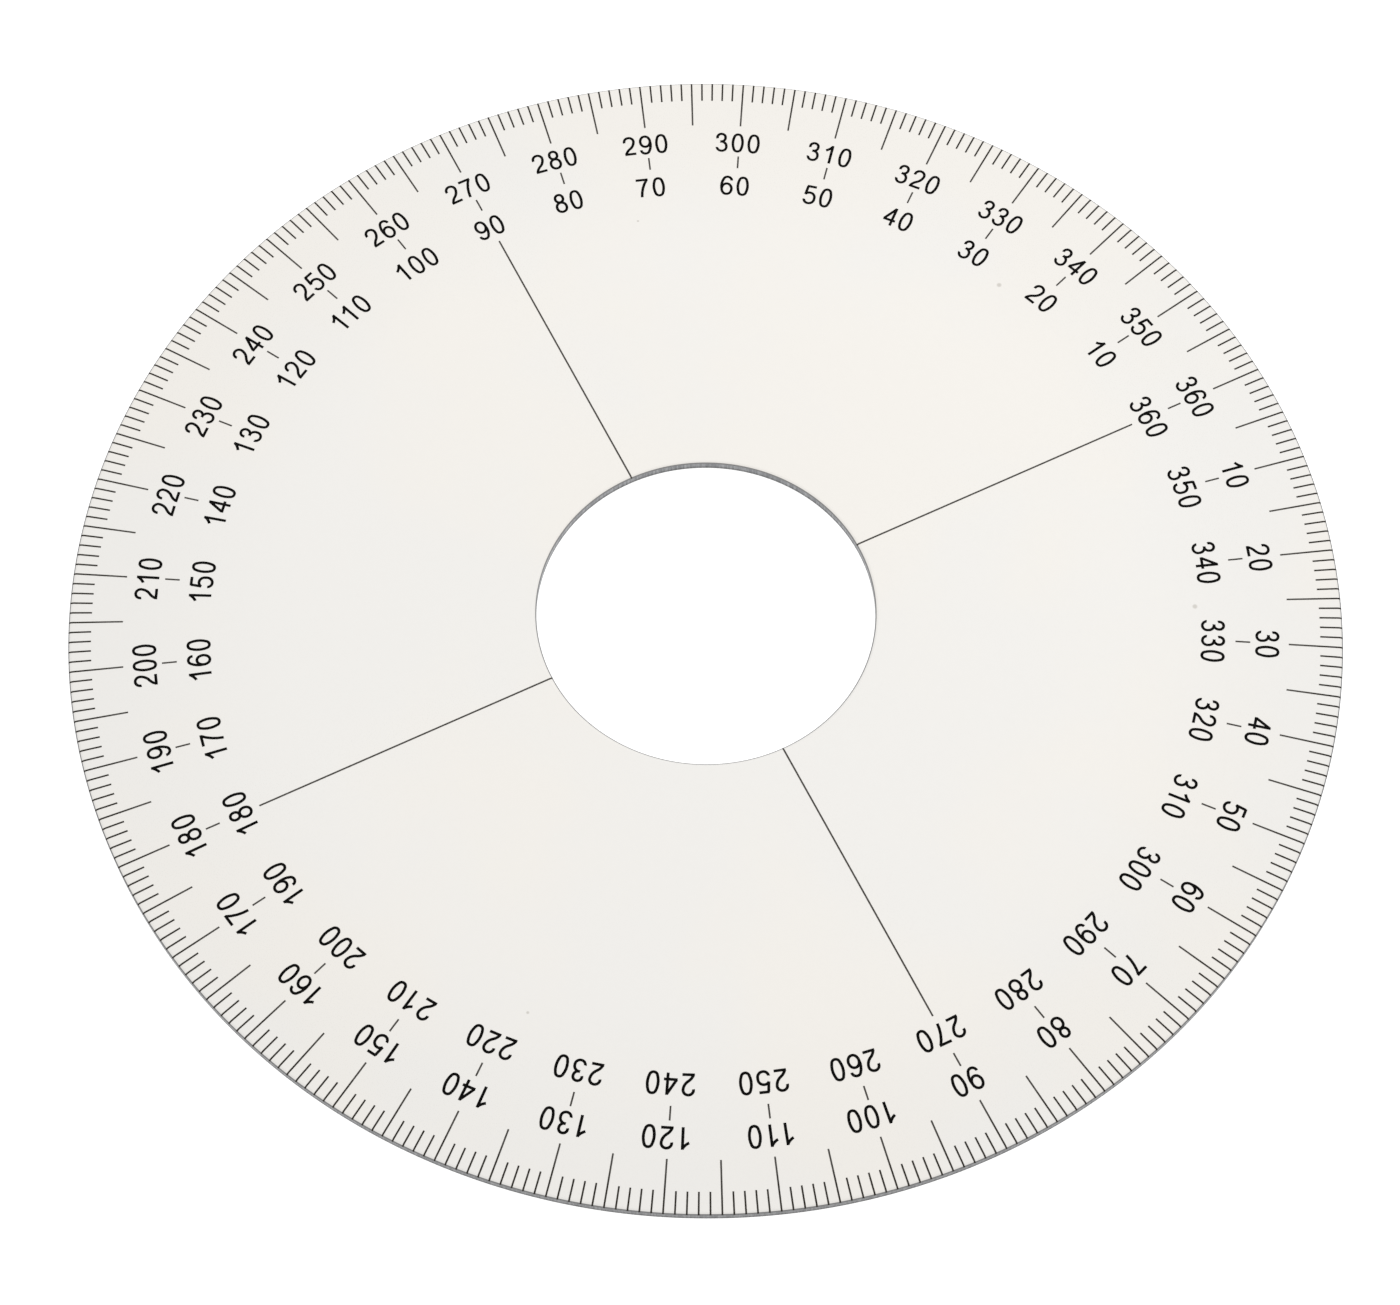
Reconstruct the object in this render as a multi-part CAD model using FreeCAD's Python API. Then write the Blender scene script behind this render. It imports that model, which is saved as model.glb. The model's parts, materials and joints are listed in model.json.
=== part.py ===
import FreeCAD, Part
import math
import os

# Full-circle protractor: a punched sheet-metal ring, coated on its upper face and printed
# with a 360 degree scale. Millimetres, seen from above. The origin is the centre of the hole
# at the underside, +Z is the printed side and +X runs towards the mark for 360 degrees.

Vector = FreeCAD.Vector
CENTRE = Vector(0, 0, 0)
UP = Vector(0, 0, 1)

# Sheet: 7 1/2 inch disc with a 2 inch hole, cut from 1/16 inch metal. Punching draws the
# upper edges down in a rounded shoulder at the rim and round the hole.
DISC_R = 95.25
HOLE_R = 25.4
SHEET_T = 1.5875
SHOULDER_W = 0.6
SHOULDER_DROP = 0.22

# Layers on the upper face.
COAT_T = 0.03
INK_T = 0.02

# Printed scale: lengths run inwards from the rim, radii outwards from the centre.
LINE_W = 0.25
TICK_STEP = 1
LONG_TICK_STEP = 5
NUMBER_STEP = 10
SHORT_TICK = 3.4
LONG_TICK = 8.1
DASH_INNER_R = 79.2
DASH_LENGTH = 2.2
CROSS_LINE_OUTER_R = 72.9
CROSS_LINE_STEP = 90

# Numerals: drawn with a round pen, tops outwards, each figure upright on its own radius.
FIGURE_H = 3.4
PEN_W = 0.35
FIGURE_PITCH = 2.53
ONES_KERN = 0.33
OUTER_BASE_R = 82.3
INNER_BASE_R = 74.2
NUMERAL_DRIFT = 0.28


def oval(centre_y, half_w, half_h, end_r):
    """Return the stroke of an upright oval: two end arcs and two longer side arcs, tangent."""
    rise = half_h - end_r
    side_r = (half_w**2 + rise**2 - end_r**2) / (2 * (half_w - end_r))
    lean = math.atan2(rise, side_r - half_w)
    x = end_r * math.cos(lean)
    y = rise + end_r * math.sin(lean)
    top = centre_y + y
    bottom = centre_y - y
    return [
        (-x, top),
        ((0, centre_y + half_h), (x, top)),
        ((half_w, centre_y), (x, bottom)),
        ((0, centre_y - half_h), (-x, bottom)),
        ((-half_w, centre_y), (-x, top)),
    ]


def half_turn(strokes, height):
    """Return the strokes turned upside down within a figure of the given height."""

    def turn(step):
        if isinstance(step[0], tuple):
            return tuple(turn(point) for point in step)
        return (-step[0], height - step[1])

    return [[turn(step) for step in stroke] for stroke in strokes]


# Each figure is a list of pen strokes, in figure heights above the baseline, with x measured
# from the figure's middle. A stroke starts at a point; each further step is the end point of
# a straight, or a pair: a point that an arc passes through, then the arc's end point.
SIX = [
    oval(0.311, 0.229, 0.287, 0.2),
    [(-0.229, 0.36), ((-0.212, 0.71), (-0.135, 0.893)), ((-0.06, 0.96), (0.03, 0.976)),
     ((0.16, 0.93), (0.222, 0.79))],
]
FIGURES = {
    "0": [oval(0.49, 0.228, 0.476, 0.172)],
    "1": [[(0.075, 0.05), (0.075, 0.94), ((-0.04, 0.8), (-0.19, 0.7))]],
    "2": [
        [(-0.22, 0.73), ((0, 0.965), (0.215, 0.725)), ((0.14, 0.5), (-0.02, 0.325)),
         ((-0.16, 0.16), (-0.21, 0.045)), (0.215, 0.045)],
    ],
    "3": [
        [(-0.2, 0.74), ((-0.01, 0.967), (0.17, 0.735)), ((0.08, 0.575), (-0.04, 0.54))],
        [(-0.04, 0.54), ((0.15, 0.46), (0.217, 0.27)), ((0, 0.02), (-0.222, 0.23))],
    ],
    "4": [
        [(0.13, 0.05), (0.13, 0.95), (-0.235, 0.295)],
        [(0.24, 0.295), (-0.235, 0.295), (0.13, 0.95)],
    ],
    "5": [
        [(0.19, 0.955), (-0.165, 0.955), (-0.217, 0.51)],
        [(-0.217, 0.51), ((0, 0.613), (0.231, 0.33)), ((-0.01, 0.02), (-0.235, 0.225))],
    ],
    "6": SIX,
    "7": [[(-0.24, 0.95), (0.235, 0.95), ((0.01, 0.5), (-0.09, 0.05))]],
    "8": [oval(0.762, 0.184, 0.207, 0.178), oval(0.272, 0.227, 0.258, 0.22)],
    "9": half_turn(SIX, 0.98),
}


def face_point(radius, lift):
    """Return the point of the upper face's section at a radius, raised by lift."""
    drop = SHOULDER_DROP if radius in (HOLE_R, DISC_R) else 0
    return Vector(radius, 0, SHEET_T + lift - drop)


def shoulder(edge_r, flat_r, lift):
    """Return the rounded shoulder between an edge and the flat, level where it meets the flat."""
    arc_r = (SHOULDER_W**2 + SHOULDER_DROP**2) / (2 * SHOULDER_DROP)
    half_angle = math.asin(SHOULDER_W / arc_r) / 2
    outwards = math.copysign(1, edge_r - flat_r)
    flat = face_point(flat_r, lift)
    middle = flat + Vector(outwards * arc_r * math.sin(half_angle), 0, arc_r * (math.cos(half_angle) - 1))
    return Part.Arc(flat, middle, face_point(edge_r, lift)).toShape()


def face_line(lift, inner_r, outer_r):
    """Return the edges of the upper face in section between two radii, raised by lift."""
    edges = []
    flat_start = inner_r
    flat_end = outer_r
    if inner_r == HOLE_R:
        flat_start = HOLE_R + SHOULDER_W
        edges.append(shoulder(HOLE_R, flat_start, lift))
    if outer_r == DISC_R:
        flat_end = DISC_R - SHOULDER_W
        edges.append(shoulder(DISC_R, flat_end, lift))
    edges.append(Part.LineSegment(face_point(flat_start, lift), face_point(flat_end, lift)).toShape())
    return edges


def section(edges, inner_low, inner_top, outer_low, outer_top):
    """Return the face enclosed by upper and lower edges and an upright wall at each end."""
    walls = [
        Part.LineSegment(inner_low, inner_top).toShape(),
        Part.LineSegment(outer_low, outer_top).toShape(),
    ]
    return Part.Face(Part.Wire(Part.__sortEdges__(edges + walls)))


def layer_section(low_lift, top_lift, inner_r=HOLE_R, outer_r=DISC_R):
    """Return the section of a layer that lies on the upper face between two radii."""
    return section(
        face_line(low_lift, inner_r, outer_r) + face_line(top_lift, inner_r, outer_r),
        face_point(inner_r, low_lift),
        face_point(inner_r, top_lift),
        face_point(outer_r, low_lift),
        face_point(outer_r, top_lift),
    )


def sheet():
    """Return the punched metal ring."""
    hole_corner = Vector(HOLE_R, 0, 0)
    rim_corner = Vector(DISC_R, 0, 0)
    underside = Part.LineSegment(hole_corner, rim_corner).toShape()
    outline = section(
        face_line(0, HOLE_R, DISC_R) + [underside],
        hole_corner,
        face_point(HOLE_R, 0),
        rim_corner,
        face_point(DISC_R, 0),
    )
    return outline.revolve(CENTRE, UP, 360)


def face_coat():
    """Return the coat on the upper face, carried down over both shoulders."""
    return layer_section(0, COAT_T).revolve(CENTRE, UP, 360)


def printed_line(inner_r, outer_r):
    """Return one ink line along +X that follows the face between two radii."""
    line = layer_section(COAT_T, COAT_T + INK_T, inner_r, outer_r).extrude(Vector(0, LINE_W, 0))
    line.translate(Vector(0, -LINE_W / 2, 0))
    return line


def around(mark, angles):
    """Return copies of a mark, each turned clockwise from +X by its scale angle."""
    copies = []
    for angle in angles:
        copy = mark.copy()
        copy.rotate(CENTRE, UP, -angle)
        copies.append(copy)
    return Part.makeCompound(copies)


def degree_ticks():
    """Return the short ticks at the degrees between the long ones."""
    tick = printed_line(DISC_R - SHORT_TICK, DISC_R)
    return around(tick, [a for a in range(0, 360, TICK_STEP) if a % LONG_TICK_STEP])


def five_degree_ticks():
    """Return the long ticks halfway between the numbered ones."""
    tick = printed_line(DISC_R - LONG_TICK, DISC_R)
    return around(tick, [a for a in range(0, 360, LONG_TICK_STEP) if a % NUMBER_STEP])


def ten_degree_ticks():
    """Return the long ticks at the numbered angles."""
    return around(printed_line(DISC_R - LONG_TICK, DISC_R), range(0, 360, NUMBER_STEP))


def link_dashes():
    """Return the dashes between the outer and the inner numbers."""
    dash = printed_line(DASH_INNER_R, DASH_INNER_R + DASH_LENGTH)
    return around(dash, range(0, 360, NUMBER_STEP))


def cross_lines():
    """Return the four lines from the edge of the hole to the inner numbers."""
    return around(printed_line(HOLE_R, CROSS_LINE_OUTER_R), range(0, 360, CROSS_LINE_STEP))


def stroke_wire(stroke):
    """Return the pen's path for one stroke, in millimetres."""

    def place(point):
        return Vector(point[0] * FIGURE_H, point[1] * FIGURE_H, 0)

    edges = []
    start = stroke[0]
    for step in stroke[1:]:
        if isinstance(step[0], tuple):
            through, end = step
            edges.append(Part.Arc(place(start), place(through), place(end)).toShape())
        else:
            end = step
            edges.append(Part.LineSegment(place(start), place(end)).toShape())
        start = end
    return Part.Wire(edges)


def inked(wire):
    """Return the area that the pen covers along a wire, open or closed."""
    outside = Part.Face(wire.makeOffset2D(PEN_W / 2))
    if not wire.isClosed():
        return outside
    return outside.cut(Part.Face(wire.makeOffset2D(-PEN_W / 2)))


def figure(name):
    """Return one figure as an ink solid, its baseline on the X axis at height zero."""
    strokes = [inked(stroke_wire(stroke)).extrude(UP * INK_T) for stroke in FIGURES[name]]
    if len(strokes) == 1:
        return strokes[0]
    return strokes[0].fuse(strokes[1:]).removeSplitter()


def number(text, base_r, angle, figures):
    """Return the figures of a number, centred on its ray and standing on base_r."""
    drift = NUMERAL_DRIFT * math.sin(math.radians(angle))
    along = drift - FIGURE_PITCH * (len(text) - 1) / 2
    placed = []
    for index, name in enumerate(text):
        if index:
            along += FIGURE_PITCH
            if text[index - 1:index + 1] == "11":
                along -= ONES_KERN
        turn = math.degrees(along / (base_r + FIGURE_H / 2))
        copy = figures[name].copy()
        copy.translate(Vector(0, base_r, SHEET_T + COAT_T))
        copy.rotate(CENTRE, UP, -90 - angle - turn)
        placed.append(copy)
    return placed


def numeral_ring(base_r, value_at):
    """Return a ring of numbers; value_at gives the number printed at a scale angle."""
    figures = {name: figure(name) for name in FIGURES}
    solids = []
    for angle in range(NUMBER_STEP, 360 + NUMBER_STEP, NUMBER_STEP):
        for shape in number(str(value_at(angle)), base_r, angle, figures):
            solids.extend(shape.Solids)
    return Part.makeCompound(solids)


def outer_numerals():
    """Return the outer numbers, 10 to 360 clockwise."""
    return numeral_ring(OUTER_BASE_R, lambda angle: angle)


def inner_numerals():
    """Return the inner numbers, which count the other way round."""
    return numeral_ring(INNER_BASE_R, lambda angle: 360 - angle % 360)


SUB_PARTS = [
    sheet,
    face_coat,
    degree_ticks,
    five_degree_ticks,
    ten_degree_ticks,
    outer_numerals,
    inner_numerals,
    link_dashes,
    cross_lines,
]

os.makedirs("parts", exist_ok=True)
for make in SUB_PARTS:
    shape = make()
    shape.exportStep("parts/" + make.__name__ + ".step")
    print(make.__name__, len(shape.Solids), "solids", round(shape.Volume, 3), "mm3", shape.isValid())
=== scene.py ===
import json
import math

import bmesh
import bpy
from bpy.props import FloatProperty, FloatVectorProperty, IntProperty, PointerProperty
from mathutils import Matrix, Vector


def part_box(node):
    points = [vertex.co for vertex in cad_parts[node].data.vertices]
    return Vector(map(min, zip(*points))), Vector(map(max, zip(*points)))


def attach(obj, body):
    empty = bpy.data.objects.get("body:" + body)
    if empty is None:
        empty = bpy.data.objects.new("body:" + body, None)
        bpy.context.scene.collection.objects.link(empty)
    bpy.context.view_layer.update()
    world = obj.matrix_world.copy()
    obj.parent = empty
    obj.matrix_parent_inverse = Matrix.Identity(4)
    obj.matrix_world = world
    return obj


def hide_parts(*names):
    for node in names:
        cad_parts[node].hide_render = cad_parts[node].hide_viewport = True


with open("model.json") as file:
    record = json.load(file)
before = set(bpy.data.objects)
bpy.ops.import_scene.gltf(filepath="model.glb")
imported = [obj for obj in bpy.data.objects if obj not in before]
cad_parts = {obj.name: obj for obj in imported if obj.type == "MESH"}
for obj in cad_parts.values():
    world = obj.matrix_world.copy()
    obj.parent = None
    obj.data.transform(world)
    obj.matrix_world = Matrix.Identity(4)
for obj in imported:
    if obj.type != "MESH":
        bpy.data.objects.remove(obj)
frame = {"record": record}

bl_info = {
    "name": "Full-circle protractor",
    "version": (1, 0, 0),
    "blender": (4, 5, 0),
    "location": "3D View > Sidebar > Protractor",
    "description": "Models a printed sheet-metal protractor disc and a plain studio for it",
    "category": "Add Mesh",
}

MM = 0.001
BODY = "root"

# Sizes that the frame gives.
CENTRE_HOLE = next(m for m in frame["record"]["mounts"] if m["name"] == "centre_hole")
RIM_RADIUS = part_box("sheet")[1].x
HOLE_RADIUS = CENTRE_HOLE["dims"]["r_mm"] * MM
WALL_TOP = CENTRE_HOLE["dims"]["length_mm"] * MM
SHEET_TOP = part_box("sheet")[1].z
COAT_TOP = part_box("face_coat")[1].z
INK_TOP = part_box("outer_numerals")[1].z
DASH_OUTER_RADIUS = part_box("link_dashes")[1].x
CROSS_LINE_OUTER_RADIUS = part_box("cross_lines")[1].x

# Distance within which points are merged.
MERGE = 0.5e-6
DEGREE = math.radians(1)
# Widest step along a curve in a drawn figure, and number of steps in small rounded edges.
ARC_STEP = 10 * DEGREE
SHOULDER_STEPS = 8
CORNER_STEPS = 3
# Bands of clear face, beside each shoulder, that keep its shading off the flat.
SUPPORT_BAND = 0.15 * MM
# Edges that turn by more than this stay sharp.
SHARP_ANGLE = 30 * DEGREE


def length(name, description, default):
    """Return a length property, shown in the scene's units."""
    return FloatProperty(
        name=name, description=description, default=default, min=0, unit="LENGTH", precision=5
    )


def angle(name, description, degrees):
    """Return an angle property."""
    return FloatProperty(
        name=name, description=description, default=degrees * DEGREE, subtype="ANGLE"
    )


def place(name, description, default):
    """Return a property that holds a point."""
    return FloatVectorProperty(
        name=name, description=description, default=default, subtype="TRANSLATION", precision=5
    )


def strength(name, description, default, unit="NONE"):
    """Return a property for how strong a light is."""
    return FloatProperty(name=name, description=description, default=default, min=0, unit=unit)


def colour(name, description, default):
    """Return a colour property."""
    return FloatVectorProperty(
        name=name, description=description, default=default, min=0, max=1, subtype="COLOR"
    )


class DiscSizes(bpy.types.PropertyGroup):
    """Sizes of the punched sheet and its coat."""

    rim_radius: length("Rim radius", "Radius over the rim", RIM_RADIUS)
    hole_radius: length("Hole radius", "Radius of the centre hole", HOLE_RADIUS)
    shoulder_width: length("Shoulder width", "Reach of the drawn-down edge", 0.6 * MM)
    shoulder_drop: length("Shoulder drop", "Depth of the drawn-down edge", SHEET_TOP - WALL_TOP)
    break_height: length("Break height", "Height of the torn part of a cut wall", 0.6 * MM)
    break_depth: length("Break depth", "How far the torn part stands back", 0.03 * MM)
    corner_radius: length("Corner radius", "Rounding of the lower corners", 0.08 * MM)
    steps: IntProperty(name="Steps", description="Facets round the disc", default=720, min=90)


class ScaleSizes(bpy.types.PropertyGroup):
    """Sizes of the printed lines."""

    line_width: length("Line width", "Width of every printed line", 0.25 * MM)
    short_tick: length("Short tick", "Length of a one-degree tick", 3.4 * MM)
    long_tick: length("Long tick", "Length of a five- or ten-degree tick", 8.1 * MM)
    dash: length("Dash", "Length of the dash between two numbers", 2.2 * MM)


class NumeralSizes(bpy.types.PropertyGroup):
    """Sizes and places of the printed numbers."""

    figure_height: length("Figure height", "Height of a flat-topped figure", 3.37 * MM)
    pen_width: length("Pen width", "Width of a figure's strokes", 0.42 * MM)
    pitch: length("Pitch", "Distance between figures, middle to middle", 2.53 * MM)
    ones_kern: length("Kern of ones", "How much closer two ones stand", 0.33 * MM)
    outer_base: length("Outer base", "Radius that the outer numbers stand on", 82.3 * MM)
    inner_base: length("Inner base", "Radius that the inner numbers stand on", 74.2 * MM)
    drift: length("Drift", "Clockwise shift of the numbers at 90 degrees", 0.28 * MM)


class FinishColours(bpy.types.PropertyGroup):
    """Colours of the coat, the metal, the ink and the floor."""

    coat_cream: colour("Coat, cream", "Warmer patches of the coat", (0.824, 0.797, 0.752))
    coat_cool: colour("Coat, cool", "Cooler patches of the coat", (0.810, 0.794, 0.764))
    # Painted shade: a dark grey laid on the coat's shoulders and lip, standing in for the shade
    # on the edges.
    coat_edge: colour("Coat, edge", "Coat drawn thin over the shoulders", (0.13, 0.13, 0.134))
    speck: colour("Speck", "Small flaws in the coat", (0.42, 0.39, 0.34))
    wall: colour("Cut wall", "Burnished part of the cut metal", (0.170, 0.174, 0.184))
    torn: colour("Torn wall", "Torn part of the cut metal", (0.148, 0.149, 0.152))
    pits: colour("Pits", "Dark pits in the torn part", (0.05, 0.05, 0.055))
    tarnish: colour("Tarnish", "Film on the wall of the rim", (0.062, 0.058, 0.054))
    underside: colour("Underside", "Bare rolled metal", (0.60, 0.605, 0.61))
    numeral_ink: colour("Numeral ink", "Heavy ink of the numbers", (0.0015, 0.0012, 0.001))
    line_ink: colour("Line ink", "Thinner ink of the lines", (0.030, 0.026, 0.021))
    show_through: colour("Show-through", "Coat seen through thin ink", (0.80, 0.78, 0.74))
    floor: colour("Floor", "Plain pale floor", (0.50, 0.50, 0.50))
    floor_clouds: colour("Floor clouds", "Paler patches of the floor", (0.60, 0.60, 0.60))


class StudioSetup(bpy.types.PropertyGroup):
    """Camera, floor and light."""

    azimuth: angle("Azimuth", "Bearing of the camera", -26.78)
    elevation: angle("Elevation", "Height of the camera", 62.88)
    roll: angle("Roll", "Turn of the camera about its view", 0.48)
    distance: length("Distance", "Camera to the point that it looks at", 0.6353)
    aim: place("Aim", "Point that the camera looks at", (-3.93 * MM, -5.93 * MM, COAT_TOP))
    lens: FloatProperty(
        name="Lens", description="Focal length", default=109.65, min=1, unit="CAMERA"
    )
    floor_size: length("Floor size", "Side of the floor", 8)
    floor_gap: length("Floor gap", "Clearance between the disc and the floor", 0.05 * MM)
    floor_glow: strength("Floor glow", "Light given off by the floor", 0.8)
    dome: strength("Dome", "Strength of the even light all round", 0.95)
    softbox: strength("Softbox", "Power of the large light", 1.0, unit="POWER")
    softbox_place: place("Softbox place", "Middle of the large light", (0.38, 0.22, 0.55))
    softbox_width: length("Softbox width", "Width of the large light", 0.6)
    softbox_depth: length("Softbox depth", "Depth of the large light", 0.4)


# ---------------------------------------------------------------------------- modelling


def deselect_all():
    """Deselect every object, so that the next operator acts only on its own."""
    bpy.ops.object.select_all(action="DESELECT")


def make_active(piece):
    """Select one piece alone and make it the active one."""
    deselect_all()
    piece.select_set(True)
    bpy.context.view_layer.objects.active = piece


def pick_vertices(piece, test):
    """In edit mode, select the vertices whose place passes a test."""
    bpy.ops.mesh.select_mode(type="VERT")
    mesh = bmesh.from_edit_mesh(piece.data)
    for vertex in mesh.verts:
        vertex.select_set(test(vertex.co))
    mesh.select_flush_mode()
    bmesh.update_edit_mesh(piece.data)


def close_mesh():
    """In edit mode, merge doubles and point every face outwards."""
    bpy.ops.mesh.select_all(action="SELECT")
    bpy.ops.mesh.remove_doubles(threshold=MERGE)
    bpy.ops.mesh.normals_make_consistent(inside=False)


def turned_ring(name, section, steps):
    """Make a ring by pulling a circle from corner to corner of a closed section."""
    radius, height = section[0]
    deselect_all()
    bpy.ops.mesh.primitive_circle_add(vertices=steps, radius=radius, location=(0, 0, height))
    ring = bpy.context.object
    ring.name = name
    bpy.ops.object.transform_apply(location=True, rotation=True, scale=True)
    bpy.ops.object.mode_set(mode="EDIT")
    bpy.ops.mesh.select_all(action="SELECT")
    for next_radius, next_height in section[1:] + section[:1]:
        rise = next_height - height
        growth = next_radius / radius
        bpy.ops.mesh.extrude_edges_move(TRANSFORM_OT_translate={"value": (0, 0, rise)})
        bpy.ops.transform.resize(value=(growth, growth, 1), center_override=(0, 0, 0))
        radius, height = next_radius, next_height
    close_mesh()
    bpy.ops.object.mode_set(mode="OBJECT")
    bpy.ops.object.shade_smooth_by_angle(angle=SHARP_ANGLE)
    return ring


def shoulder(disc, edge_radius, side, top):
    """Return the points of a drawn-down edge, from the wall to the flat, below a face at top.

    side is 1 where the metal lies outside the edge, as at the hole, and -1 at the rim.
    """
    width, drop = disc.shoulder_width, disc.shoulder_drop
    arc_radius = (width**2 + drop**2) / (2 * drop)
    reach = math.asin(width / arc_radius)
    points = []
    for step in range(SHOULDER_STEPS + 1):
        lean = reach * (1 - step / SHOULDER_STEPS)
        out = width - arc_radius * math.sin(lean)
        points.append((edge_radius + side * out, top - arc_radius * (1 - math.cos(lean))))
    return points


def face_line(disc, top):
    """Return the section of the upper face, hole to rim, for a flat at height top."""
    inner = shoulder(disc, disc.hole_radius, 1, top)
    outer = shoulder(disc, disc.rim_radius, -1, top)
    inner_flat = inner[-1][0]
    outer_flat = outer[-1][0]
    flat = [
        (inner_flat + SUPPORT_BAND, top),
        ((inner_flat + outer_flat) / 2, top),
        (outer_flat - SUPPORT_BAND, top),
    ]
    return inner + flat + outer[::-1]


def cut_wall(disc, edge_radius, side):
    """Return the points of a cut wall, from the underside up to where it is burnished."""
    corner, depth = disc.corner_radius, disc.break_depth
    points = []
    for step in range(CORNER_STEPS + 1):
        turn = math.pi / 2 * step / CORNER_STEPS
        out = depth + corner * (1 - math.sin(turn))
        points.append((edge_radius + side * out, corner * (1 - math.cos(turn))))
    points.append((edge_radius + side * depth, disc.break_height - depth))
    points.append((edge_radius, disc.break_height))
    return points


def pen_edge(name, place, heading, width):
    """Start a piece as one edge, width across, square to a heading; stay in edit mode."""
    along = Vector((math.cos(heading), math.sin(heading), 0))
    deselect_all()
    bpy.ops.mesh.primitive_plane_add(
        size=width, location=place - along * width / 2, rotation=(0, 0, heading)
    )
    piece = bpy.context.object
    piece.name = name
    bpy.ops.object.transform_apply(location=True, rotation=True, scale=True)
    bpy.ops.object.mode_set(mode="EDIT")
    pick_vertices(piece, lambda point: (point - place).dot(along) < -width / 2)
    bpy.ops.mesh.delete(type="VERT")
    bpy.ops.mesh.select_all(action="SELECT")
    return piece


def pull_edge(move):
    """In edit mode, pull the selected edge straight along a move."""
    bpy.ops.mesh.extrude_edges_move(TRANSFORM_OT_translate={"value": move})


def swing_edge(centre, angle):
    """In edit mode, swing the selected edge anticlockwise about a centre."""
    steps = max(2, math.ceil(abs(angle) / ARC_STEP))
    bpy.ops.mesh.spin(steps=steps, angle=-angle, center=centre, axis=(0, 0, 1))


def thicken(height):
    """In edit mode, raise all faces into closed slabs and leave edit mode.

    The seam of a closed stroke is merged first, so that no wall is raised inside it.
    """
    bpy.ops.mesh.select_all(action="SELECT")
    bpy.ops.mesh.remove_doubles(threshold=MERGE)
    bpy.ops.mesh.extrude_region_move(TRANSFORM_OT_translate={"value": (0, 0, height)})
    close_mesh()
    bpy.ops.object.mode_set(mode="OBJECT")


def repeat_around(piece, count, spacing):
    """Copy a piece's mesh round the centre until there are count of it, spacing apart."""
    make_active(piece)
    bpy.ops.object.mode_set(mode="EDIT")
    bpy.ops.mesh.select_all(action="SELECT")
    bpy.ops.mesh.spin(
        steps=count - 1, dupli=True, angle=spacing * (count - 1), center=(0, 0, 0), axis=(0, 0, 1)
    )
    bpy.ops.object.mode_set(mode="OBJECT")


def ink_line(context, name, inner, outer, bearing=0.0):
    """Lay one ink line on the coat between two radii, carried over a shoulder that it meets."""
    disc = context.scene.disc_sizes
    profile = [point for point in face_line(disc, COAT_TOP) if inner < point[0] < outer]
    if inner > disc.hole_radius:
        profile.insert(0, (inner, COAT_TOP))
    else:
        profile.insert(0, (disc.hole_radius, COAT_TOP - disc.shoulder_drop))
    if outer < disc.rim_radius:
        profile.append((outer, COAT_TOP))
    else:
        profile.append((disc.rim_radius, COAT_TOP - disc.shoulder_drop))
    outwards = Vector((math.cos(bearing), -math.sin(bearing), 0))
    points = [radius * outwards + Vector((0, 0, height)) for radius, height in profile]
    line = pen_edge(name, points[0], -bearing, context.scene.scale_sizes.line_width)
    for point, next_point in zip(points, points[1:]):
        pull_edge(next_point - point)
    thicken(INK_TOP - COAT_TOP)
    return line


# ----------------------------------------------------------------------------- figures


def oval(centre, half_width, half_height, end_radius):
    """Return the stroke of an upright oval of two end arcs and two longer side arcs."""
    rise = half_height - end_radius
    side_radius = (half_width**2 + rise**2 - end_radius**2) / (2 * (half_width - end_radius))
    lean = math.atan2(rise, side_radius - half_width)
    x = end_radius * math.cos(lean)
    top = centre + rise + end_radius * math.sin(lean)
    bottom = 2 * centre - top
    return [
        (-x, top),
        ((0, centre + half_height), (x, top)),
        ((half_width, centre), (x, bottom)),
        ((0, centre - half_height), (-x, bottom)),
        ((-half_width, centre), (-x, top)),
    ]


def half_turn(strokes, height):
    """Return strokes turned upside down within a figure of a height."""

    def turn(step):
        if isinstance(step[0], tuple):
            return tuple(turn(point) for point in step)
        return (-step[0], height - step[1])

    return [[turn(step) for step in stroke] for stroke in strokes]


# The pen's strokes for each figure, in figure heights, from the middle of the baseline. A
# stroke starts at a point; each further step is a straight's end point, or a pair: a point
# that an arc passes through and the arc's end point.
SIX = [
    oval(0.311, 0.229, 0.287, 0.2),
    [(-0.229, 0.31), ((-0.212, 0.7), (-0.135, 0.886)), ((-0.06, 0.955), (0.03, 0.976)),
     ((0.16, 0.925), (0.226, 0.775))],
]
FIGURES = {
    "0": [oval(0.49, 0.228, 0.476, 0.172)],
    "1": [[(0.075, 0), (0.075, 1)], [(-0.2, 0.69), ((-0.06, 0.785), (0.06, 0.93))]],
    "2": [
        [(-0.222, 0.7), ((-0.005, 0.966), (0.215, 0.735)), ((0.145, 0.5), (-0.02, 0.325)),
         ((-0.155, 0.17), (-0.205, 0.06))],
        [(-0.262, 0.05), (0.262, 0.05)],
    ],
    "3": [
        [(-0.2, 0.715), ((-0.01, 0.967), (0.17, 0.755)), ((0.1, 0.59), (-0.07, 0.54))],
        [(-0.07, 0.54), ((0.14, 0.47), (0.217, 0.275)), ((0, 0.02), (-0.222, 0.22))],
    ],
    "4": [
        [(0.13, 0), (0.13, 1)],
        [(0.118, 0.945), (-0.25, 0.3)],
        [(-0.29, 0.295), (0.29, 0.295)],
    ],
    "5": [
        [(-0.2, 0.953), (0.23, 0.953)],
        [(-0.163, 0.953), (-0.218, 0.49)],
        [(-0.232, 0.49), ((-0.02, 0.613), (0.231, 0.363)), (0.231, 0.29),
         ((0.157, 0.093), (-0.02, 0.02)), ((-0.173, 0.083), (-0.236, 0.225))],
    ],
    "6": SIX,
    "7": [[(-0.283, 0.948), (0.283, 0.948)], [(0.236, 0.95), ((0.01, 0.5), (-0.088, 0))]],
    "8": [oval(0.762, 0.184, 0.207, 0.178), oval(0.272, 0.227, 0.258, 0.22)],
    "9": half_turn(SIX, 0.98),
}


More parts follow.
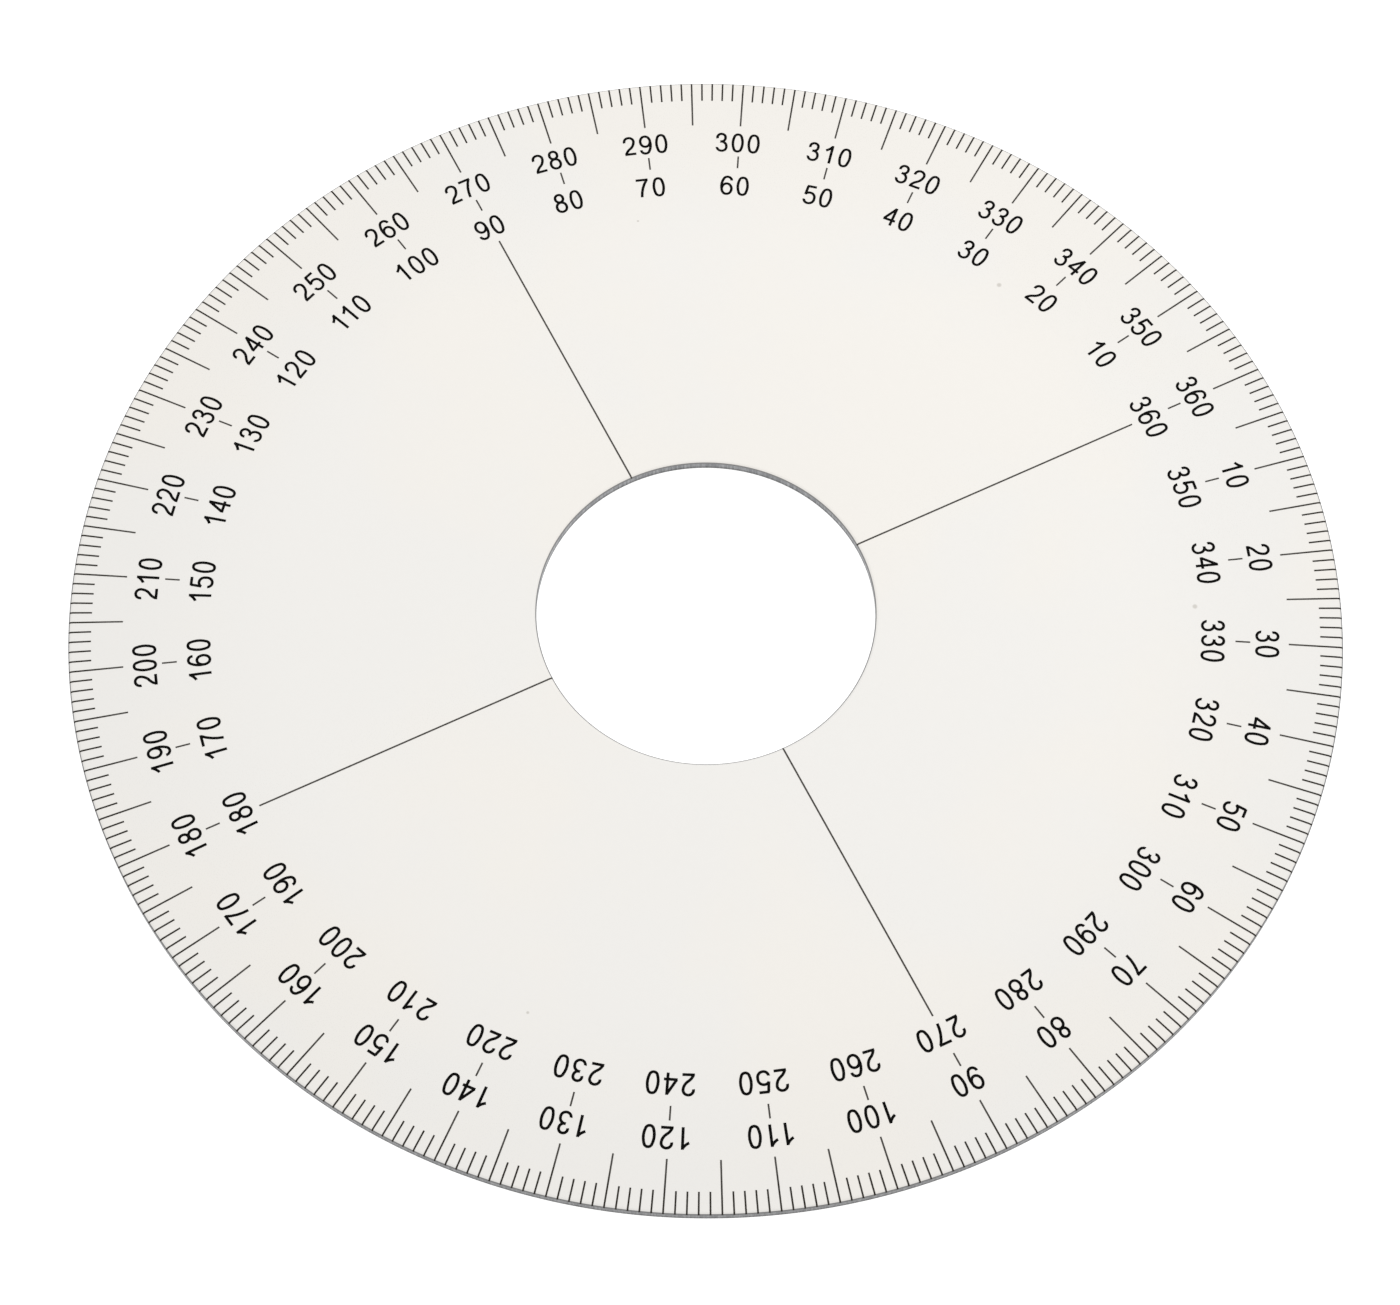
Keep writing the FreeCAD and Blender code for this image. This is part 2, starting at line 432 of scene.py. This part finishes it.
def arc_centre(start, through, end):
    """Return the centre of the arc through three points, and its turn, anticlockwise."""
    a, b, c = (Vector(point).to_2d() for point in (start, through, end))
    first, second = b - a, c - a
    cross = 2 * first.cross(second)
    offset = Vector((
        second.y * first.length_squared - first.y * second.length_squared,
        first.x * second.length_squared - second.x * first.length_squared,
    )) / cross
    centre = a + offset
    sweep = (c - centre).angle_signed(a - centre)
    if cross > 0 and sweep < 0:
        sweep += math.tau
    if cross < 0 and sweep > 0:
        sweep -= math.tau
    return centre, sweep


def draw_stroke(name, stroke, pen, thickness):
    """Draw one stroke as a slab, in figure heights."""
    start = Vector(stroke[0])
    if isinstance(stroke[1][0], tuple):
        centre, sweep = arc_centre(start, *stroke[1])
        spoke = start - centre
        heading = math.atan2(spoke.y, spoke.x) + math.copysign(math.pi / 2, sweep)
    else:
        ahead = Vector(stroke[1]) - start
        heading = math.atan2(ahead.y, ahead.x)
    piece = pen_edge(name, start.to_3d(), heading, pen)
    for step in stroke[1:]:
        if isinstance(step[0], tuple):
            centre, sweep = arc_centre(start, *step)
            swing_edge(centre.to_3d(), sweep)
            start = Vector(step[1])
        else:
            pull_edge((Vector(step) - start).to_3d())
            start = Vector(step)
    thicken(thickness)
    return piece


def unite(piece, others):
    """Unite a piece with others, which are used up."""
    for other in others:
        union = piece.modifiers.new("Union", "BOOLEAN")
        union.operation = "UNION"
        union.solver = "EXACT"
        union.object = other
        make_active(piece)
        bpy.ops.object.modifier_apply(modifier=union.name)
        bpy.data.objects.remove(other)
    return piece


def figure(context, name):
    """Draw one figure at its size, standing on the X axis on top of the coat."""
    sizes = context.scene.numeral_sizes
    height = sizes.figure_height
    pen = sizes.pen_width / height
    thickness = (INK_TOP - COAT_TOP) / height
    strokes = [draw_stroke("figure_" + name, stroke, pen, thickness) for stroke in FIGURES[name]]
    piece = unite(strokes[0], strokes[1:])
    make_active(piece)
    bpy.ops.transform.resize(value=(height, height, height), center_override=(0, 0, 0))
    bpy.ops.transform.translate(value=(0, 0, COAT_TOP))
    bpy.ops.object.transform_apply(location=True, rotation=True, scale=True)
    return piece


def place_figure(pattern, base, bearing):
    """Copy a figure to stand on a radius, top outwards, at a clockwise bearing from +X."""
    make_active(pattern)
    bpy.ops.object.duplicate(linked=False)
    copy = bpy.context.object
    turn = Matrix.Rotation(-math.pi / 2 - bearing, 4, "Z")
    copy.matrix_world = turn @ Matrix.Translation((0, base, 0))
    return copy


def print_number(context, text, base, bearing, patterns):
    """Place the figures of one number, centred near its bearing."""
    sizes = context.scene.numeral_sizes
    along = sizes.drift * math.sin(bearing) - sizes.pitch * (len(text) - 1) / 2
    placed = []
    for index, name in enumerate(text):
        if index:
            along += sizes.pitch
        if text[:index + 1].endswith("11"):
            along -= sizes.ones_kern
        turn = along / (base + sizes.figure_height / 2)
        placed.append(place_figure(patterns[name], base, bearing + turn))
    return placed


def number_ring(context, name, base, value_at, patterns):
    """Print a ring of numbers, one every ten degrees, as one piece."""
    placed = []
    for degrees in range(10, 370, 10):
        text = str(value_at(degrees))
        placed += print_number(context, text, base, degrees * DEGREE, patterns)
    deselect_all()
    for piece in placed:
        piece.select_set(True)
    bpy.context.view_layer.objects.active = placed[0]
    bpy.ops.object.join()
    ring = bpy.context.object
    ring.name = name
    bpy.ops.object.transform_apply(location=True, rotation=True, scale=True)
    return ring


# ---------------------------------------------------------------------------- finishes


class Wire:
    """The output of a shader node, which arithmetic turns into more Math nodes."""

    def __init__(self, finish, socket):
        self.finish = finish
        self.socket = socket

    def __add__(self, other):
        return self.finish.math("ADD", self, other)

    def __radd__(self, other):
        return self.finish.math("ADD", other, self)

    def __sub__(self, other):
        return self.finish.math("SUBTRACT", self, other)

    def __rsub__(self, other):
        return self.finish.math("SUBTRACT", other, self)

    def __mul__(self, other):
        return self.finish.math("MULTIPLY", self, other)

    def __rmul__(self, other):
        return self.finish.math("MULTIPLY", other, self)

    def __truediv__(self, other):
        return self.finish.math("DIVIDE", self, other)


class Finish:
    """A node material, put together from expressions."""

    def __init__(self, name):
        self.material = bpy.data.materials.new(name)
        self.material.use_nodes = True
        self.nodes = self.material.node_tree.nodes
        self.links = self.material.node_tree.links
        self.nodes.clear()
        coordinates = self.node("ShaderNodeTexCoord")
        self.place = Wire(self, coordinates.outputs["Object"])
        axes = self.node("ShaderNodeSeparateXYZ", values={"Vector": self.place})
        self.x, self.y, self.z = (Wire(self, socket) / MM for socket in axes.outputs)
        self.radius = self.math("SQRT", self.x * self.x + self.y * self.y)

    def node(self, kind, settings=None, values=None):
        """Add a node; its settings are set first, then its sockets' values or links."""
        made = self.nodes.new(kind)
        for name, value in (settings or {}).items():
            setattr(made, name, value)
        for name, value in (values or {}).items():
            if isinstance(value, Wire):
                self.links.new(value.socket, made.inputs[name])
            else:
                made.inputs[name].default_value = value
        return made

    def math(self, operation, *values):
        """Add a Math node and return its result."""
        made = self.node("ShaderNodeMath", {"operation": operation}, dict(enumerate(values)))
        return Wire(self, made.outputs[0])

    def stretched(self, x, y, z):
        """Return the place in millimetres, scaled along each axis."""
        values = {0: self.place, 1: (x / MM, y / MM, z / MM)}
        made = self.node("ShaderNodeVectorMath", {"operation": "MULTIPLY"}, values)
        return Wire(self, made.outputs[0])

    def noise(self, place, scale, detail=2.0, roughness=0.5):
        """Return soft noise from 0 to 1 over a place."""
        values = {"Vector": place, "Scale": scale, "Detail": detail, "Roughness": roughness}
        made = self.node("ShaderNodeTexNoise", values=values)
        return Wire(self, made.outputs["Fac"])

    def ramp(self, value, start, end):
        """Return 0 where value is at start, 1 where it is at end, and a smooth change between."""
        low, high = min(start, end), max(start, end)
        values = {"Value": value, "From Min": low, "From Max": high}
        made = self.node("ShaderNodeMapRange", {"interpolation_type": "SMOOTHSTEP"}, values)
        rising = Wire(self, made.outputs["Result"])
        return rising if start < end else 1 - rising

    def blend(self, factor, first, second):
        """Mix two colours."""
        values = {"Factor": factor, 6: with_alpha(first), 7: with_alpha(second)}
        made = self.node("ShaderNodeMix", {"data_type": "RGBA"}, values)
        return Wire(self, made.outputs[2])

    def relief(self, height, depth):
        """Return the normal of a surface with bumps up to depth millimetres high."""
        made = self.node("ShaderNodeBump", values={"Height": height, "Distance": depth * MM})
        return Wire(self, made.outputs["Normal"])

    def done(self, **values):
        """Add the surface shader with its values and return the material."""
        named = {name.replace("_", " ").title(): value for name, value in values.items()}
        named = {name.replace("Ior", "IOR"): value for name, value in named.items()}
        shader = self.node("ShaderNodeBsdfPrincipled", values=named)
        output = self.node("ShaderNodeOutputMaterial")
        self.links.new(shader.outputs["BSDF"], output.inputs["Surface"])
        return self.material


def with_alpha(value):
    """Return a colour with the fourth number that a socket wants; leave a wire as it is."""
    return value if isinstance(value, Wire) else (*value, 1)


# Small flaws in the coat: bearing in degrees, radius and width in millimetres.
FLAWS = [(334.9, 73.4, 0.5), (25.7, 73.3, 0.5), (137.8, 69.7, 0.3), (287.6, 69.9, 0.25)]


def flaw(finish, bearing, radius, width):
    """Return 1 inside a small round flaw and 0 outside it."""
    turn = -bearing * DEGREE
    x = finish.x - radius * math.cos(turn)
    y = finish.y - radius * math.sin(turn)
    return finish.ramp(finish.math("SQRT", x * x + y * y), width, width * 0.4)


def coat_finish(colours, disc):
    """Off-white baked enamel: faint clouds, scuffs and specks; painted warm light on the side
    facing the softbox, and painted shade greying it towards the edges.
    """
    finish = Finish("white_enamel")
    # Painted light: the clouds are pushed towards cream on the side facing the softbox, standing
    # in for warmer light from there.
    warm_light_side = 0.0008 * (finish.x + 0.6 * finish.y)
    clouds = finish.noise(finish.place, scale=18, detail=3, roughness=0.55) - warm_light_side
    tint = finish.blend(finish.ramp(clouds, 0.40, 0.60), colours.coat_cream, colours.coat_cool)
    scuffs = finish.noise(finish.stretched(0.9, 0.03, 1), scale=1, detail=4, roughness=0.7)
    scuffs = finish.ramp(scuffs, 0.66, 0.74)
    mottle = finish.noise(finish.place, scale=900)
    rim = disc.rim_radius / MM
    hole = disc.hole_radius / MM
    from_edge = finish.math("MINIMUM", rim - finish.radius, finish.radius - hole)
    # Painted shade: the coat greys slightly over the outer 35 mm towards the rim.
    rim_shade = 0.035 * finish.ramp(finish.radius, rim - 35, rim - 4)
    # Painted shade over each shoulder, and a near-black painted shade along the lip of each edge.
    shoulder_shade = 0.06 * finish.ramp(from_edge, 0.5, 0.25)
    lip_shade = 0.84 * finish.ramp(from_edge, 0.18, 0.14)
    # Painted shade at the rim, the shoulders and the lip, together with a little real mottle and
    # scuff wear.
    shade_and_wear = rim_shade + shoulder_shade + lip_shade + 0.01 * mottle + 0.01 * scuffs
    tint = finish.blend(shade_and_wear, tint, colours.coat_edge)
    for bearing, radius, width in FLAWS:
        tint = finish.blend(0.55 * flaw(finish, bearing, radius, width), tint, colours.speck)
    peel = finish.noise(finish.place, scale=700)
    return finish.done(
        base_color=tint, roughness=0.46 + 0.08 * mottle - 0.06 * scuffs,
        normal=finish.relief(peel + 0.5 * scuffs, 0.004),
    )


def metal_finish(colours, disc):
    """Cut and rolled aluminium: streaked walls, torn below, and a grained underside."""
    finish = Finish("punched_aluminium")
    above_corner = finish.ramp(finish.z, 0.005, 0.03)
    break_line = disc.break_height / MM
    streaks = finish.noise(finish.stretched(1, 1, 0.08), scale=3.2, detail=4, roughness=0.6)
    grit = finish.noise(finish.stretched(1, 1, 1), scale=14, detail=3, roughness=0.7)
    ragged_height = finish.z + 0.3 * (streaks - 0.5)
    torn = finish.ramp(ragged_height, break_line + 0.06, break_line - 0.06)
    bright_streaks = 0.35 * finish.ramp(streaks, 0.35, 0.7)
    outer_wall = finish.ramp(finish.radius, 50, 60)
    cut = finish.blend(torn, colours.wall, colours.torn)
    cut = finish.blend(bright_streaks, cut, colours.underside)
    cut = finish.blend(0.3 * torn * grit, cut, colours.pits)
    cut = finish.blend(0.3 * outer_wall, cut, colours.tarnish)
    grain = finish.noise(finish.stretched(0.02, 5, 1), scale=1, detail=5, roughness=0.65)
    stains = finish.noise(finish.place, scale=35, detail=3, roughness=0.6)
    rolled = finish.blend(0.18 * grain + 0.12 * stains, colours.underside, colours.wall)
    cut_roughness = 0.3 + 0.2 * torn + 0.12 * grit
    rolled_roughness = 0.26 + 0.16 * grain + 0.1 * stains
    bumps = 0.4 * grain * (1 - above_corner) + above_corner * (streaks + torn * grit)
    return finish.done(
        base_color=finish.blend(above_corner, rolled, cut), metallic=1.0,
        roughness=rolled_roughness + above_corner * (cut_roughness - rolled_roughness),
        normal=finish.relief(bumps, 0.012),
    )


def ink_finish(name, colours, ink, fade=0.0):
    """Screen-printing ink: matt, thin in pinholes, and thinner by a fade inside the scale."""
    finish = Finish(name)
    cover = finish.noise(finish.place, scale=2500, detail=3, roughness=0.6)
    pinholes = 0.02 * finish.ramp(cover, 0.55, 0.75)
    thin = pinholes + fade * finish.ramp(finish.radius, 92, 89)
    return finish.done(
        base_color=finish.blend(thin, ink, colours.show_through),
        roughness=0.6 + 0.15 * cover, specular_ior_level=0.05,
        normal=finish.relief(cover, 0.003),
    )


def floor_finish(colours, glow):
    """Plain pale tabletop that glows, so that it stays bright, and is clear from below."""
    finish = Finish("pale_tabletop")
    clouds = finish.noise(finish.place, scale=60)
    geometry = finish.node("ShaderNodeNewGeometry")
    below = Wire(finish, geometry.outputs["Backfacing"])
    # The floor lights the disc only where light happens to reach it, not as a lamp of its own,
    # because so near a lamp would mark the underside.
    finish.material.cycles.emission_sampling = "NONE"
    return finish.done(
        base_color=finish.blend(0.1 * clouds, colours.floor, colours.floor_clouds),
        roughness=0.7, alpha=1 - below, emission_color=(1, 1, 1, 1), emission_strength=glow,
    )


def finish_piece(piece, material, slot, *nodes):
    """Give a piece its material, and let it stand for its nodes on the body. The slot is not
    used.
    """
    piece.data.materials.clear()
    piece.data.materials.append(material)
    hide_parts(*nodes)
    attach(piece, BODY)


def line_ink(context):
    """Return the material of every printed line, made once."""
    name = "line_ink"
    colours = context.scene.finish_colours
    made = bpy.data.materials.get(name)
    return made or ink_finish(name, colours, colours.line_ink, fade=0.045)


# --------------------------------------------------------------------------- operators


class PROTRACTOR_OT_sheet(bpy.types.Operator):
    """Model the punched metal ring, with drawn-down shoulders and cut walls."""

    bl_idname = "protractor.sheet"
    bl_label = "Sheet"

    def execute(self, context):
        disc = context.scene.disc_sizes
        rim_wall = cut_wall(disc, disc.rim_radius, -1)
        hole_wall = cut_wall(disc, disc.hole_radius, 1)
        section = rim_wall + face_line(disc, SHEET_TOP)[::-1] + hole_wall[::-1]
        ring = turned_ring("metal_sheet", section, disc.steps)
        material = metal_finish(context.scene.finish_colours, disc)
        finish_piece(ring, material, "sheet_metal", "sheet")
        return {"FINISHED"}


class PROTRACTOR_OT_coat(bpy.types.Operator):
    """Model the white coat that follows the upper face over both shoulders."""

    bl_idname = "protractor.coat"
    bl_label = "Face coat"

    def execute(self, context):
        disc = context.scene.disc_sizes
        section = face_line(disc, SHEET_TOP) + face_line(disc, COAT_TOP)[::-1]
        ring = turned_ring("white_coat", section, disc.steps)
        material = coat_finish(context.scene.finish_colours, disc)
        finish_piece(ring, material, "white_coat", "face_coat")
        return {"FINISHED"}


class PROTRACTOR_OT_degree_ticks(bpy.types.Operator):
    """Print the short ticks, four between each pair of long ones."""

    bl_idname = "protractor.degree_ticks"
    bl_label = "Degree ticks"

    def execute(self, context):
        rim = context.scene.disc_sizes.rim_radius
        inner = rim - context.scene.scale_sizes.short_tick
        ticks = ink_line(context, "short_ticks", inner, rim, bearing=DEGREE)
        repeat_around(ticks, 4, DEGREE)
        repeat_around(ticks, 72, 5 * DEGREE)
        finish_piece(ticks, line_ink(context), "black_ink", "degree_ticks")
        return {"FINISHED"}


class PROTRACTOR_OT_long_ticks(bpy.types.Operator):
    """Print the long ticks: those at the numbers, and those halfway between them."""

    bl_idname = "protractor.long_ticks"
    bl_label = "Long ticks"

    def execute(self, context):
        rim = context.scene.disc_sizes.rim_radius
        inner = rim - context.scene.scale_sizes.long_tick
        for name, node, start in (
            ("numbered_ticks", "ten_degree_ticks", 0),
            ("half_way_ticks", "five_degree_ticks", 5),
        ):
            ticks = ink_line(context, name, inner, rim, bearing=start * DEGREE)
            repeat_around(ticks, 36, 10 * DEGREE)
            finish_piece(ticks, line_ink(context), "black_ink", node)
        return {"FINISHED"}


class PROTRACTOR_OT_inner_lines(bpy.types.Operator):
    """Print the dashes between the numbers, and the four lines out from the hole."""

    bl_idname = "protractor.inner_lines"
    bl_label = "Dashes and cross-lines"

    def execute(self, context):
        inner = DASH_OUTER_RADIUS - context.scene.scale_sizes.dash
        dashes = ink_line(context, "number_dashes", inner, DASH_OUTER_RADIUS)
        repeat_around(dashes, 36, 10 * DEGREE)
        finish_piece(dashes, line_ink(context), "black_ink", "link_dashes")
        hole = context.scene.disc_sizes.hole_radius
        lines = ink_line(context, "quarter_lines", hole, CROSS_LINE_OUTER_RADIUS)
        repeat_around(lines, 4, 90 * DEGREE)
        finish_piece(lines, line_ink(context), "black_ink", "cross_lines")
        return {"FINISHED"}


class PROTRACTOR_OT_numerals(bpy.types.Operator):
    """Print both rings of numbers."""

    bl_idname = "protractor.numerals"
    bl_label = "Numerals"

    def execute(self, context):
        sizes = context.scene.numeral_sizes
        patterns = {name: figure(context, name) for name in FIGURES}
        outer = number_ring(
            context, "outer_numbers", sizes.outer_base, lambda angle: angle, patterns
        )
        inner = number_ring(
            context, "inner_numbers", sizes.inner_base, lambda angle: 360 - angle % 360, patterns
        )
        for pattern in patterns.values():
            bpy.data.objects.remove(pattern)
        colours = context.scene.finish_colours
        ink = ink_finish("numeral_ink", colours, colours.numeral_ink)
        finish_piece(outer, ink, "black_ink", "outer_numerals")
        finish_piece(inner, ink, "black_ink", "inner_numerals")
        return {"FINISHED"}


class PROTRACTOR_OT_studio(bpy.types.Operator):
    """Set up the floor, the light and the camera."""

    bl_idname = "protractor.studio"
    bl_label = "Studio"

    def execute(self, context):
        studio = context.scene.studio_setup
        add_floor(context, studio)
        add_light(context, studio)
        add_camera(context, studio)
        context.scene.view_settings.view_transform = "Standard"
        return {"FINISHED"}


def add_floor(context, studio):
    """Lay a large plain floor just under the disc."""
    deselect_all()
    bpy.ops.mesh.primitive_plane_add(size=studio.floor_size, location=(0, 0, -studio.floor_gap))
    floor = context.object
    floor.name = "floor"
    floor.data.materials.append(floor_finish(context.scene.finish_colours, studio.floor_glow))


def add_light(context, studio):
    """Light the disc evenly all round, and a little more from behind."""
    world = bpy.data.worlds.new("even_dome")
    world.use_nodes = True
    background = world.node_tree.nodes["Background"]
    background.inputs["Color"].default_value = (1, 1, 1, 1)
    background.inputs["Strength"].default_value = studio.dome
    context.scene.world = world
    deselect_all()
    bpy.ops.object.light_add(type="AREA", location=studio.softbox_place)
    softbox = context.object
    softbox.name = "softbox"
    towards_disc = -Vector(studio.softbox_place)
    softbox.rotation_euler = towards_disc.to_track_quat("-Z", "Y").to_euler()
    softbox.data.shape = "RECTANGLE"
    softbox.data.size = studio.softbox_width
    softbox.data.size_y = studio.softbox_depth
    softbox.data.energy = studio.softbox


def add_camera(context, studio):
    """Look at the disc from above and in front."""
    bearing, height = studio.azimuth, studio.elevation
    back = Vector((
        math.sin(bearing) * math.cos(height),
        -math.cos(bearing) * math.cos(height),
        math.sin(height),
    ))
    deselect_all()
    bpy.ops.object.camera_add(location=Vector(studio.aim) + back * studio.distance)
    camera = context.object
    camera.name = "camera"
    look = (-back).to_track_quat("-Z", "Y").to_matrix()
    camera.rotation_euler = (look @ Matrix.Rotation(studio.roll, 3, "Z")).to_euler()
    camera.data.lens = studio.lens
    camera.data.clip_start = 10 * MM
    context.scene.camera = camera


class PROTRACTOR_PT_panel(bpy.types.Panel):
    """Sizes, colours and the steps that build the protractor."""

    bl_idname = "PROTRACTOR_PT_panel"
    bl_label = "Protractor"
    bl_space_type = "VIEW_3D"
    bl_region_type = "UI"
    bl_category = "Protractor"

    def draw(self, context):
        for name, group in SETTINGS.items():
            box = self.layout.box()
            box.label(text=group.__doc__.rstrip("."))
            for field in group.__annotations__:
                box.prop(getattr(context.scene, name), field)
        for step in STEPS:
            self.layout.operator(step.bl_idname)


SETTINGS = {
    "disc_sizes": DiscSizes,
    "scale_sizes": ScaleSizes,
    "numeral_sizes": NumeralSizes,
    "finish_colours": FinishColours,
    "studio_setup": StudioSetup,
}
STEPS = [
    PROTRACTOR_OT_sheet,
    PROTRACTOR_OT_coat,
    PROTRACTOR_OT_degree_ticks,
    PROTRACTOR_OT_long_ticks,
    PROTRACTOR_OT_inner_lines,
    PROTRACTOR_OT_numerals,
    PROTRACTOR_OT_studio,
]


def register():
    """Register the add-on's classes and settings."""
    for name, group in SETTINGS.items():
        bpy.utils.register_class(group)
        setattr(bpy.types.Scene, name, PointerProperty(type=group))
    for step in STEPS:
        bpy.utils.register_class(step)
    bpy.utils.register_class(PROTRACTOR_PT_panel)


def unregister():
    """Take the add-on's classes and settings out again."""
    bpy.utils.unregister_class(PROTRACTOR_PT_panel)
    for step in reversed(STEPS):
        bpy.utils.unregister_class(step)
    for name, group in SETTINGS.items():
        delattr(bpy.types.Scene, name)
        bpy.utils.unregister_class(group)


def main():
    """Build the whole protractor."""
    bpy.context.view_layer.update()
    register()
    bpy.ops.protractor.sheet()
    bpy.ops.protractor.coat()
    bpy.ops.protractor.degree_ticks()
    bpy.ops.protractor.long_ticks()
    bpy.ops.protractor.inner_lines()
    bpy.ops.protractor.numerals()
    bpy.ops.protractor.studio()


if __name__ == "__main__":
    main()
